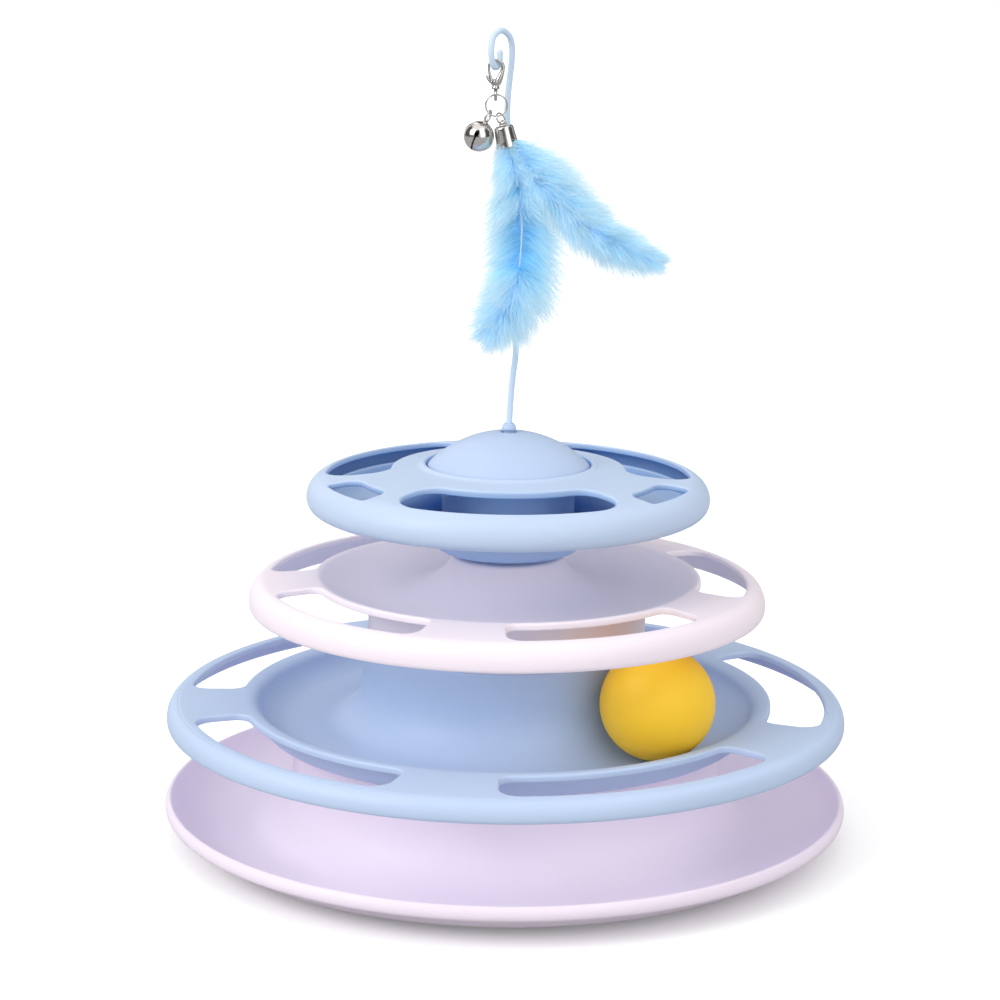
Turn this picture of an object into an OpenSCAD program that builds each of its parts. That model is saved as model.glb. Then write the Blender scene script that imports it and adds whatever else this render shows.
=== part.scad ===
// Cat ball track toy: a round base tray, two stacked track tiers with paw slots,
// a spinning top disc, and a spring wire wand with a jingle bell and feather teaser.
// Millimetres, +Z up, origin at the centre of the footprint on the floor.
// The front of the toy faces -Y; angles called az run from the front towards +X.

/* [Base tray] */
// Outer radius of the base tray's rim
base_r = 125; // [120:0.5:130]
// Height of the base tray's rim
base_rim_z = 15; // [13:0.5:18]
// Outer radius of the base tray's riser
base_riser_r = 78; // [77.5:0.1:80]
// Number of rubber feet
feet_n = 5; // [3:1:8]
// Radius of one rubber foot
foot_r = 7.2; // [5:0.1:7.5]
// Radius of the circle the feet stand on
foot_ring_r = 96; // [95:0.5:98]

/* [Lower track tier] */
// Outer radius of the lower tier's rim
low_r = 124; // [122:0.5:126]
// Height of the lower tier's flange
low_flange_z = 51.2; // [50.8:0.1:52]
// Inner radius of the lower tier's paw slots
low_slot_r1 = 97; // [96.5:0.5:100]
// Outer radius of the lower tier's paw slots
low_slot_r2 = 116.5; // [112:0.5:117]
// Half angle of one lower paw slot in degrees
low_slot_half = 26.5; // [18:0.5:30]

/* [Upper track tier] */
// Outer radius of the upper tier's rim
up_r = 94; // [92:0.5:96]
// Inner radius of the upper tier's paw slots
up_slot_r1 = 70.5; // [70:0.5:74]
// Outer radius of the upper tier's paw slots
up_slot_r2 = 87; // [82:0.5:87.5]
// Half angle of one upper paw slot in degrees
up_slot_half = 25.5; // [18:0.5:30]
// Number of paw slots around a tier
slots_n = 5; // [3:1:6]

/* [Top disc] */
// Outer radius of the spinning top disc
disc_r = 73; // [71:0.5:75]
// Half angle of one large slot in the disc cover
disc_slot_half = 40; // [25:1:42]
// Radius of the domed cap
dome_r = 29.3; // [29:0.1:29.5]
// Height of the dome above its edge
dome_h = 12.4; // [10:0.1:13]
// Radius of the spindle that the disc turns on
spindle_r = 5; // [4:0.1:6]
// Radial running clearance of the spindle
spindle_gap = 0.05; // [0.03:0.01:0.1]

/* [Ball] */
// Radius of the ball
ball_r = 20.2; // [18:0.1:20.4]
// Wall thickness of the hollow ball
ball_t = 1.2; // [0.8:0.1:2]
// Position of the ball around the track, from the front towards +X
ball_az = 46; // [0:1:359]

/* [Wand] */
// Diameter of the coated spring wire
wire_d = 2.2; // [1.6:0.1:2.4]
// Outer radius of the jingle bell
bell_r = 5.3; // [4.5:0.1:5.3]
// Mean radius of the split ring
ring_r = 3.75; // [3.6:0.05:3.9]

/* [Hidden] */
$fn = 96;

lilac = [0.93, 0.92, 0.98];
pink = [0.88, 0.84, 0.90];
blue = [0.76, 0.84, 0.95];
nickel = [0.72, 0.72, 0.74];
orange = [0.99, 0.76, 0.24];
sky = [0.45, 0.77, 0.96];

// Wall and seat sizes that follow from the sizes above
base_riser_in = base_riser_r - 1.8;
low_skirt_r = base_riser_in - 0.15;
low_riser_r = 52.4;
low_riser_in = 50.8;
up_skirt_r = 50.6;
low_z = 43;
track_r = 73.5;
ball_z = low_z + ball_r + 0.1;
slot_az0 = 25.5;
screw_r = 48;

// Points on a cubic curve from a to d with handles b and c
function bez(a, b, c, d, n = 6) = [for (i = [0:n]) let (t = i / n, u = 1 - t)
  u*u*u*a + 3*u*u*t*b + 3*u*t*t*c + t*t*t*d];
// Points on an arc of a circle
function arc(cx, cy, r, a0, a1, n = 4) = [for (i = [0:n])
  let (a = a0 + (a1 - a0) * i / n) [cx + r * cos(a), cy + r * sin(a)]];

// Outline of a slot that follows a circle, with rounded corners
function slot_pts(r1, r2, h, c1, c2) =
  let (d1 = asin(c1 / (r1 + c1)), d2 = asin(c2 / (r2 - c2)),
       k1 = r1 + c1, k2 = r2 - c2, e1 = h - d1, e2 = h - d2)
  concat(
    arc(0, 0, r2, -e2, e2, 10),
    arc(k2*cos(e2), k2*sin(e2), c2, e2, h + 90, 4),
    arc(k1*cos(e1), k1*sin(e1), c1, h + 90, 180 + e1, 4),
    arc(0, 0, r1, e1, -e1, 8),
    arc(k1*cos(-e1), k1*sin(-e1), c1, 180 - e1, 270 - h, 4),
    arc(k2*cos(-e2), k2*sin(-e2), c2, -90 - h, -e2, 4));
// Drops points that repeat the one before
function tidy(p) = [for (i = [0:len(p)-1])
  let (q = p[(i + len(p) - 1) % len(p)]) if (norm(p[i] - q) > 0.02) p[i]];

module paw_slot(az, r1, r2, h, c1, c2, z0, z1)
  translate([0, 0, z0]) rotate([0, 0, az - 90])
    linear_extrude(z1 - z0) polygon(tidy(slot_pts(r1, r2, h, c1, c2)));

// ---- base ----
module base_tray() color(pink)
  rotate_extrude() polygon(tidy(concat(
    [[base_riser_in, 38.9], [base_riser_r - 0.4, 38.9], [base_riser_r, 38.5]],
    bez([base_riser_r, 28], [base_riser_r + 0.2, 14], [84, 4], [97, 4], 10),
    bez([102, 4], [112, 4], [base_r - 6, 8], [base_r - 2.6, base_rim_z - 0.2], 10),
    [[base_r - 2, base_rim_z], [base_r - 1, base_rim_z - 0.2],
     [base_r - 0.2, base_rim_z - 1.2], [base_r, base_rim_z - 2.6],
     [base_r - 0.3, base_rim_z - 4.2], [base_r - 1, base_rim_z - 5]],
    bez([base_r - 2.6, base_rim_z - 5.2], [base_r - 8, 6], [113, 2], [104, 2], 8),
    bez([88.5, 2], [82, 2.6], [base_riser_in + 0.2, 12], [base_riser_in, 24], 8),
    [[base_riser_in - 2.2, 24], [base_riser_in - 2.2, 26], [base_riser_in, 26]])));

module rubber_feet() color([0.36, 0.35, 0.38])
  for (i = [0:feet_n-1]) rotate([0, 0, -90 - 11 + 360 / feet_n * i])
    translate([foot_ring_r, 0, 0]) {
      cylinder(r1 = foot_r - 0.5, r2 = foot_r, h = 0.6);
      translate([0, 0, 0.6]) cylinder(r = foot_r, h = 1.4);
    }

// ---- lower tier ----
module lower_profile() polygon(tidy(concat(
  [[low_riser_in, 73.2], [low_riser_r - 0.4, 73.2], [low_riser_r, 72.8]],
  bez([low_riser_r, 61], [52.6, 51], [57, low_z], [68, low_z], 9),
  [[79, low_z]],
  bez([80, low_z], [85, low_z], [88.6, 45.6], [90, 48.6], 6),
  bez([90, 48.6], [90.8, 50.4], [92.5, low_flange_z], [95, low_flange_z], 4),
  [[low_slot_r2 + 1.5, low_flange_z - 0.4]],
  bez([120, low_flange_z - 1], [low_r - 1.2, low_flange_z - 1.6], [low_r, 47], [low_r, 44.6], 5),
  [[low_r - 0.2, 43.5], [low_r - 0.9, 43], [low_r - 1.7, 43.4]],
  bez([low_r - 2, 44.6], [low_r - 2.2, 46.4], [low_r - 3.4, 47.6], [118, 48.4], 4),
  [[97.5, 48.9]],
  bez([96, 48.8], [93.6, 48.4], [92.4, 47.4], [91.6, 45.8], 3),
  bez([91.6, 45.8], [90, 42.4], [88.4, 40.4], [85.6, 40.2], 4),
  [[low_skirt_r, 40.2], [low_skirt_r, 26], [low_skirt_r - 1.7, 26],
   [low_skirt_r - 1.7, 40.6]],
  bez([68, 40.8], [57, 40.8], [50.8, 47], [low_riser_in, 58], 8),
  [[low_riser_in, 60], [low_riser_in - 2.3, 60], [low_riser_in - 2.3, 62],
   [low_riser_in, 62]])));

module lower_track() color(blue) difference() {
  rotate_extrude() lower_profile();
  for (i = [0:slots_n-1])
    paw_slot(slot_az0 + 360 / slots_n * i, low_slot_r1, low_slot_r2, low_slot_half,
      5, 7, 46, 54);
}

// ---- upper tier ----
module upper_profile() polygon(tidy(concat(
  [[spindle_r + 0.1, 104.2], [20, 104.2]],
  bez([21.5, 103.9], [23.5, 97], [31, 91.6], [44, 91.3], 10),
  [[48, 91.3]],
  bez([48, 91.3], [55, 91.4], [61, 93.2], [66, 95.4], 6),
  bez([66, 95.4], [67.4, 96.2], [69, 96.6], [70.8, 96.5], 3),
  bez([up_slot_r2 + 1.4, 95.2], [91.6, 94.7], [up_r, 91.8], [up_r, 87.4], 6),
  [[up_r - 0.1, 86], [up_r - 0.8, 85.2], [up_r - 1.6, 85.7]],
  bez([up_r - 2, 87.4], [up_r - 2.2, 90.2], [90.2, 92.5], [up_slot_r2 + 1, 92.9], 5),
  [[71.4, 94.1]],
  bez([70, 94.1], [66, 93.4], [60, 90.4], [51.4, 89.2], 5),
  [[up_skirt_r, 89.1], [up_skirt_r, 62], [up_skirt_r - 1.6, 62],
   [up_skirt_r - 1.6, 89.1]],
  bez([44, 89.1], [30, 89.4], [21.6, 94.6], [19.4, 102], 8),
  [[spindle_r + 0.1, 102]])));

module upper_track() color(lilac) difference() {
  rotate_extrude() upper_profile();
  for (i = [0:slots_n-1])
    paw_slot(slot_az0 + 360 / slots_n * i, up_slot_r1, up_slot_r2, up_slot_half,
      4, 5.5, 91, 99);
}

// ---- spinning top disc ----
module spindle() color(nickel) difference() {
  union() {
    translate([0, 0, 99]) cylinder(r = 9, h = 3);
    translate([0, 0, 102]) cylinder(r = spindle_r, h = 26.4);
  }
  translate([0, 0, 112]) cylinder(r = 1.6, h = 20);
}

module thrust_washer() color([0.9, 0.9, 0.88]) difference() {
  translate([0, 0, 104.25]) cylinder(r = 13, h = 0.6);
  translate([0, 0, 103]) cylinder(r = spindle_r + 0.3, h = 4);
}

module turntable_shell() color(blue) difference() {
  rotate_extrude() polygon(tidy(concat(
    [[spindle_r + spindle_gap, 104.9], [21.8, 104.9]],
    bez([22.8, 105.2], [26.6, 106.4], [28, 110.6], [28.2, 117], 6),
    bez([28.2, 117], [29, 119.8], [33, 120.3], [40, 120.4], 5),
    [[64, 120.9], [66, 121.2], [66.8, 122], [66.8, 127.6], [65.2, 127.6],
     [65.2, 123.6], [64.6, 122.9], [40, 122.4]],
    bez([36, 122.3], [30, 122.1], [27.2, 120.6], [26.4, 117.6], 5),
    bez([26.4, 117.6], [26.2, 111.6], [24.8, 107.8], [20.6, 106.9], 6),
    [[9.4, 106.9], [9, 107.3], [9, 128], [spindle_r + spindle_gap, 128]])));
  for (i = [0:2]) rotate([0, 0, -30 + 120 * i])
    translate([screw_r, 0, 118]) cylinder(r = 1.8, h = 8);
}

module turntable_cover() color(blue) difference() {
  union() {
    rotate_extrude() polygon(tidy(concat(
      [[28.4, 133.6], [28.4, 136.2], [29.8, 136.2], [29.8, 137.7], [30.2, 138.1],
       [31.2, 138.1], [32.2, 137.4], [33.4, 137.0], [43, 136.1], [55, 135]],
      bez([65, 133.9], [70.4, 133.2], [disc_r, 129.6], [disc_r, 125.8], 7),
      bez([disc_r, 125.8], [disc_r, 122.8], [disc_r - 2, 121.1], [disc_r - 4.8, 121], 5),
      [[67.2, 121.4], [67.2, 123.4]],
      bez([69, 123.6], [71.2, 124.2], [70.8, 129.2], [67.6, 130.8], 5),
      [[64, 131.8], [55, 132.8], [43, 133.6]])));
    for (i = [0:2]) rotate([0, 0, -30 + 120 * i])
      translate([screw_r, 0, 122.7]) cylinder(r = 3.4, h = 11.6);
    // Tube that hangs round the bearing
    difference() {
      translate([0, 0, 118.4]) cylinder(r = 24, h = 14);
      translate([0, 0, 118]) cylinder(r = 22.4, h = 15);
    }
    // Ledge under the dome's skirt
    rotate_extrude() polygon([[22.4, 131.6], [30, 131.6], [30, 134], [28.4, 134],
      [28.4, 133], [22.4, 133]]);
  }
  for (i = [0:2]) {
    paw_slot(120 * i, 42.5, 66, disc_slot_half, 8, 11, 129, 140);
    paw_slot(60 + 120 * i, 56, 67.3, 12.3, 5.5, 1.5, 129, 140);
    rotate([0, 0, -30 + 120 * i]) translate([screw_r, 0, 121.9])
      cylinder(r = 1.2, h = 9);
  }
}

module cover_screws() color(nickel)
  for (i = [0:2]) rotate([0, 0, -30 + 120 * i]) translate([screw_r, 0, 0]) {
    difference() {
      translate([0, 0, 118.4]) cylinder(r1 = 2.4, r2 = 3, h = 1.9);
      for (a = [0, 90]) rotate([0, 0, a])
        translate([-1.6, -0.35, 118]) cube([3.2, 0.7, 1.4]);
    }
    translate([0, 0, 120.3]) cylinder(r = 1.15, h = 9);
  }

module retaining_washer() color(nickel) difference() {
  translate([0, 0, 128.45]) cylinder(r = 8.6, h = 1);
  translate([0, 0, 128]) cylinder(r = 1.8, h = 3);
}

module spindle_screw() color(nickel) {
  difference() {
    translate([0, 0, 129.5]) cylinder(r1 = 3.4, r2 = 2.8, h = 2);
    for (a = [0, 90]) rotate([0, 0, a])
      translate([-1.8, -0.4, 130.2]) cube([3.6, 0.8, 2]);
  }
  translate([0, 0, 115]) cylinder(r = 1.5, h = 14.5);
}

module dome_cap() color(blue) {
  s = (dome_r * dome_r + dome_h * dome_h) / (2 * dome_h);
  c = 137.2 + dome_h - s;
  difference() {
    intersection() {
      difference() {
        translate([0, 0, c]) sphere(r = s);
        translate([0, 0, c]) sphere(r = s - 2);
      }
      translate([0, 0, 137.2]) cylinder(r = dome_r, h = dome_h + 2);
    }
    translate([0, 0, 140]) cylinder(r = 2.5, h = 14);
  }
  difference() {
    translate([0, 0, 136.3]) cylinder(r = dome_r, h = 1.2);
    translate([0, 0, 136]) cylinder(r = 26.4, h = 3);
  }
  difference() {
    translate([0, 0, 133.2]) cylinder(r = 28.2, h = 3.6);
    translate([0, 0, 133]) cylinder(r = 26.4, h = 5);
  }
}

// ---- wand ----
// Plug that holds the wire in the dome's hole
wand_z = 149.8;
module wand_foot() color(blue) difference() {
  union() {
    translate([0, 0, 150.15]) cylinder(r1 = 2.7, r2 = 2.4, h = 1.5);
    translate([0, 0, 151.65]) cylinder(r1 = 2.2, r2 = 1.7, h = 0.9);
    translate([0, 0, 146.6]) cylinder(r = 1.9, h = 3.6);
    translate([0, 0, 144.2]) cylinder(r1 = 2.6, r2 = 3.2, h = 2.4);
  }
  translate([0, 0, 143]) cylinder(r = wire_d / 2, h = 12);
}

// Route of the wire: up from the dome, over the hook and round its end
wand_route = [[0,0,144.6], [0,0,148], [0,0,152], [0.3,0,158], [0.7,0,165],
  [1.3,0,171], [2,0,177], [2.4,0,186], [2.6,0,196], [2.6,0,208], [2.2,0,222],
  [0.6,0,238], [-0.8,0,250], [-1.8,0,260], [-1.8,0,268], [-1.2,0,275],
  [-0.6,0,281], [-0.5,-0.5,286], [-1.4,-2.2,290], [-4.2,-5.4,292.2],
  [-6.9,-8.2,290.2], [-7.7,-9.4,286], [-7.5,-9.2,282.6], [-6.8,-8.2,280.1],
  [-6,-6.8,279.6], [-5.3,-5.4,280.2], [-4.7,-4.5,282.4], [-4.6,-4.3,285]];
plane_y = -6.8;

function cr(p, i, t) = let (a = p[max(i-1, 0)], b = p[i], c = p[i+1],
  d = p[min(i+2, len(p)-1)])
  0.5 * ((2*b) + (c - a) * t + (2*a - 5*b + 4*c - d) * t*t
    + (3*b - a - 3*c + d) * t*t*t);
function smooth_route(p, m) = concat([for (i = [0:len(p)-2]) for (j = [0:m-1])
  cr(p, i, j / m)], [p[len(p)-1]]);
function unit(v) = v / norm(v);
function ring_at(p, i, r, s, ref) = let (t = unit(p[min(i+1, len(p)-1)] - p[max(i-1, 0)]),
  u = unit(cross(t, ref)), v = cross(t, u))
  [for (k = [0:s-1]) p[i] + r * (cos(360*k/s) * u + sin(360*k/s) * v)];
// A closed tube along the points p with radius r[i] at each of them
module sweep(p, r, s, ref) {
  n = len(p);
  pts = concat([for (i = [0:n-1]) for (q = ring_at(p, i, r[i], s, ref)) q]);
  faces = concat([[for (k = [0:s-1]) k]],
    [for (i = [0:n-2]) for (k = [0:s-1]) let (l = (k + 1) % s)
      each [[i*s + k, (i+1)*s + l, i*s + l], [i*s + k, (i+1)*s + k, (i+1)*s + l]]],
    [[for (k = [s-1:-1:0]) (n-1)*s + k]]);
  polyhedron(pts, faces);
}

module wand_wire() color(blue) {
  p = smooth_route(wand_route, 3);
  sweep(p, [for (i = [0:len(p)-1]) wire_d/2 - 0.02], 8, [0.8, 0.6, 0]);
}

// ---- clasp ----
// The flat clasp hangs in the plane y = plane_y
clasp_x = -6;
clasp_z = 279.5;
module flat(y0, y1) translate([0, y1, 0]) rotate([90, 0, 0]) linear_extrude(y1 - y0) children();
module torus_xz(c, r, w) translate(c) rotate([90, 0, 0])
  rotate_extrude() translate([r, 0]) circle(r = w, $fn = 24);

module clasp_outline(o) {
  translate([clasp_x, clasp_z]) circle(r = 1.9 + o, $fn = 48);
  translate([clasp_x, clasp_z - 4]) circle(r = 1.15 + o, $fn = 48);
  polygon([[clasp_x - 1.88 - o, clasp_z - 0.4], [clasp_x + 1.88 + o, clasp_z - 0.4],
    [clasp_x + 1.14 + o, clasp_z - 4.2], [clasp_x - 1.14 - o, clasp_z - 4.2]]);
}
module clasp_body() color(nickel) difference() {
  union() {
    difference() {
      flat(plane_y - 0.75, plane_y + 0.75) difference() {
        clasp_outline(1.1);
        clasp_outline(0);
        // Mouth that the gate closes
        translate([clasp_x - 4, clasp_z - 3.2]) square([3, 2.9]);
      }
      flat(plane_y - 0.3, plane_y + 0.3)
        translate([clasp_x - 3.6, clasp_z - 5.4]) square([3, 2.4]);
    }
    translate([clasp_x, plane_y, clasp_z - 7.5]) cylinder(r = 1.3, h = 2.2);
  }
  translate([clasp_x, plane_y, clasp_z - 8]) cylinder(r = 0.7, h = 4);
  translate([clasp_x - 1.85, plane_y + 2, clasp_z - 4.2]) rotate([90, 0, 0])
    cylinder(r = 0.34, h = 4);
}
module clasp_pin() color(nickel)
  translate([clasp_x - 1.85, plane_y + 0.85, clasp_z - 4.2]) rotate([90, 0, 0])
    cylinder(r = 0.3, h = 1.7);
module clasp_lever() color(nickel) flat(plane_y - 0.22, plane_y + 0.22) difference() {
  union() {
    translate([clasp_x - 1.85, clasp_z - 4.2]) circle(r = 0.85, $fn = 32);
    polygon([[clasp_x - 2.5, clasp_z - 4.2], [clasp_x - 1.2, clasp_z - 4.2],
      [clasp_x - 2, clasp_z - 0.6], [clasp_x - 2.9, clasp_z - 0.6]]);
  }
  translate([clasp_x - 1.85, clasp_z - 4.2]) circle(r = 0.34, $fn = 32);
}
// Eye that turns under the clasp
eye_z = 269.95;
module swivel_eye() color(nickel) {
  translate([clasp_x, plane_y, eye_z]) rotate([0, 0, 90]) rotate([90, 0, 0])
    rotate_extrude() translate([1.5, 0]) circle(r = 0.45, $fn = 24);
  translate([clasp_x, plane_y, eye_z + 1.2]) cylinder(r = 0.6, h = 4);
  translate([clasp_x, plane_y, clasp_z - 4.6]) cylinder(r = 0.93, h = 0.5);
}

// ---- rings, bell and ferrule ----
ring_c = [-5.7, plane_y, 266.4];
module split_ring() color(nickel) torus_xz(ring_c, ring_r, 0.42);

bell_c = [-11.7, plane_y, 255.6];
bell_tilt = 24;
bell_loop = 7.94;
module bell_frame() translate(bell_c) rotate([0, bell_tilt, 0]) children();
module bell_upper_shell() color(nickel) bell_frame() {
  difference() {
    intersection() {
      sphere(r = bell_r);
      translate([0, 0, 0.05]) cylinder(r = 8, h = 8);
    }
    sphere(r = bell_r - 0.5);
  }
  translate([0, 0, bell_r - 0.3]) cylinder(r = 1.1, h = 0.9);
  translate([0, 0, bell_loop]) rotate([0, 0, 65]) rotate([90, 0, 0])
    rotate_extrude() translate([1.75, 0]) circle(r = 0.45, $fn = 24);
}
module bell_lower_shell() color(nickel) bell_frame() difference() {
  union() {
    intersection() {
      sphere(r = bell_r);
      translate([0, 0, -8]) cylinder(r = 8, h = 8);
    }
    translate([0, 0, -0.35]) cylinder(r = bell_r + 0.12, h = 0.35);
  }
  sphere(r = bell_r - 0.5);
  // Slit across the bottom with a round hole at each end
  rotate([0, 0, 76]) {
    translate([-4.1, -0.3, -8]) cube([8.2, 0.6, 6]);
    for (s = [-1, 1]) translate([4.2 * s, 0, -8]) cylinder(r = 0.8, h = 6.4);
  }
}
module bell_pellet() color([0.4, 0.4, 0.42])
  translate([bell_c[0], bell_c[1], bell_c[2] - 3.1]) sphere(r = 1.6);

// The link ring is turned out of the split ring's plane about the line that joins them
link_c = [-4.2, plane_y, 261.85];
module link_ring() color(nickel)
  translate(link_c) rotate([0, -30, 0]) rotate([0, 0, 55]) rotate([90, 0, 0])
    rotate_extrude() translate([2.05, 0]) circle(r = 0.3, $fn = 24);

ferrule_top = [-3.2, plane_y, 259.3];
ferrule_tilt = -12.5;
module feather_ferrule() color(nickel)
  translate(ferrule_top) rotate([0, ferrule_tilt, 0]) {
    difference() {
      union() {
        translate([0, 0, -7.4]) cylinder(r1 = 3.9, r2 = 3.35, h = 7);
        translate([0, 0, -0.4]) cylinder(r1 = 3.35, r2 = 2.9, h = 0.4);
      }
      translate([0, 0, -7.9]) cylinder(r1 = 3.5, r2 = 2.95, h = 7.1);
    }
    translate([0, 0, 0.62]) rotate([90, 0, 0])
      rotate_extrude() translate([1.1, 0]) circle(r = 0.34, $fn = 24);
    translate([0, 0, -0.5]) cylinder(r = 0.8, h = 0.7);
  }

// ---- plumes ----
plume_long_route = [[-2.7,-6.9,256.2], [-1.9,-7.4,251.5], [0.2,-9,246.5], [2.6,-10.6,240.5],
  [4,-11.4,232], [4.4,-11.6,222], [4,-11.6,212], [2.6,-11.6,203],
  [0,-11.6,195.5], [-3.2,-11.6,188], [-5.4,-11.6,182.5]];
plume_long_r = [1.1, 2.4, 6, 8.6, 9.6, 9.8, 9.6, 9.2, 8.2, 6, 1.5];
plume_side_route = [[9.5,-16.5,241.5], [14.5,-16.5,237], [20.7,-16.2,230.2], [27,-16,225],
  [33.5,-15.6,221], [40,-15,218], [47,-14.4,215.4], [54,-14,213.2], [59,-13.8,211.8]];
plume_side_r = [2, 6, 7.6, 7.8, 7.4, 6.6, 5.4, 3.6, 1];
module plume(route, radii) {
  p = smooth_route(route, 2);
  r = [for (i = [0:len(p)-1]) let (k = floor(i / 2), f = (i % 2) / 2)
    radii[k] * (1 - f) + radii[min(k + 1, len(radii) - 1)] * f];
  sweep(p, r, 12, [0, 1, 0]);
}
module plume_long() color(sky) plume(plume_long_route, plume_long_r);
module plume_side() color(sky) plume(plume_side_route, plume_side_r);

// ---- ball ----
module ball_at() translate([track_r * sin(ball_az), -track_r * cos(ball_az), ball_z]) children();
module ball_upper_half() color(orange) ball_at() difference() {
  intersection() { sphere(r = ball_r); cylinder(r = 40, h = 40); }
  sphere(r = ball_r - ball_t);
}
module ball_lower_half() color(orange) ball_at() difference() {
  intersection() { sphere(r = ball_r); translate([0, 0, -40]) cylinder(r = 40, h = 40); }
  sphere(r = ball_r - ball_t);
}

base_tray();
rubber_feet();
lower_track();
upper_track();
spindle();
thrust_washer();
turntable_shell();
turntable_cover();
cover_screws();
retaining_washer();
spindle_screw();
dome_cap();
wand_foot();
wand_wire();
clasp_body();
clasp_pin();
clasp_lever();
swivel_eye();
split_ring();
bell_upper_shell();
bell_lower_shell();
bell_pellet();
link_ring();
feather_ferrule();
plume_long();
plume_side();
ball_upper_half();
ball_lower_half();
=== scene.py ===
import bpy, bmesh, math
import numpy as np
from mathutils import Vector, Matrix


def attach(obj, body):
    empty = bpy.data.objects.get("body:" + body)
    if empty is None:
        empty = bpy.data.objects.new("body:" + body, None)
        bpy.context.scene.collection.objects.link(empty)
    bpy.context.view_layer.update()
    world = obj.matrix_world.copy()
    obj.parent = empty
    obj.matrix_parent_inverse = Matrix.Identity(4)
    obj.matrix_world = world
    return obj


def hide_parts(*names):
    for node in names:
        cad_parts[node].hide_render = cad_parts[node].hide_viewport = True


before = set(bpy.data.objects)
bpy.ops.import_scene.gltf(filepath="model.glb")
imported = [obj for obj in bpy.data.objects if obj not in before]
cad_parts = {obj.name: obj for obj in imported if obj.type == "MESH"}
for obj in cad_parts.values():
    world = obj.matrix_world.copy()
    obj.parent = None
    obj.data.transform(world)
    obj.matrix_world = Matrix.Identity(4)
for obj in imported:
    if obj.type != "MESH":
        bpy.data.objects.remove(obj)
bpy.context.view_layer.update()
MM = 0.001
scene = bpy.context.scene
rng = np.random.default_rng(11)

# ---------------------------------------------------------------- camera
cam_data = bpy.data.cameras.new("camera")
cam_data.sensor_width = 36.0
cam_data.lens = 2732.0 / 1000.0 * 36.0
cam_data.clip_start, cam_data.clip_end = 0.05, 60.0
cam_data.shift_x = -0.0082
cam = bpy.data.objects.new("camera", cam_data)
scene.collection.objects.link(cam)
scene.camera = cam
pitch, roll = math.radians(12.3), math.radians(0.67)
fwd = Vector((0, math.cos(pitch), -math.sin(pitch)))
right0, up0 = Vector((1, 0, 0)), Vector((0, math.sin(pitch), math.cos(pitch)))
right = right0 * math.cos(roll) + up0 * math.sin(roll)
up = up0 * math.cos(roll) - right0 * math.sin(roll)
cam.matrix_world = Matrix(((right.x, up.x, -fwd.x, 0.0), (right.y, up.y, -fwd.y, -0.967),
                           (right.z, up.z, -fwd.z, 0.335), (0, 0, 0, 1)))

# ---------------------------------------------------------------- mesh tools (millimetres in, metres out)
def bez(a, b, c, d, n, skip=0):
    a, b, c, d = (np.array(q, float) for q in (a, b, c, d))
    t = np.linspace(0, 1, n + 1)[skip:, None]
    u = 1 - t
    return [tuple(p) for p in u**3 * a + 3 * u * u * t * b + 3 * u * t * t * c + t**3 * d]


def mesh_obj(name, verts, faces, smooth=True, uv=None):
    m = bpy.data.meshes.new(name)
    m.from_pydata([tuple(v) for v in np.asarray(verts, float) * MM], [], [tuple(f) for f in faces])
    m.validate()
    if smooth:
        m.polygons.foreach_set("use_smooth", [True] * len(m.polygons))
    o = bpy.data.objects.new(name, m)
    scene.collection.objects.link(o)
    return o


def clean(o, merge=None):
    bm = bmesh.new()
    bm.from_mesh(o.data)
    if merge:
        bmesh.ops.remove_doubles(bm, verts=bm.verts, dist=merge)
    loose = [v for v in bm.verts if not v.link_faces]
    if loose:
        bmesh.ops.delete(bm, geom=loose, context="VERTS")
    bmesh.ops.recalc_face_normals(bm, faces=bm.faces)
    bm.to_mesh(o.data)
    bm.free()
    return o


def subdiv(o, n=2):
    s = o.modifiers.new("smooth", "SUBSURF")
    s.levels = s.render_levels = n
    return o


def put(o, mat, body, slot, *nodes):
    o.data.materials.clear()
    o.data.materials.append(mat)
    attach(o, body)
    if nodes:
        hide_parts(*nodes)
    return o


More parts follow.
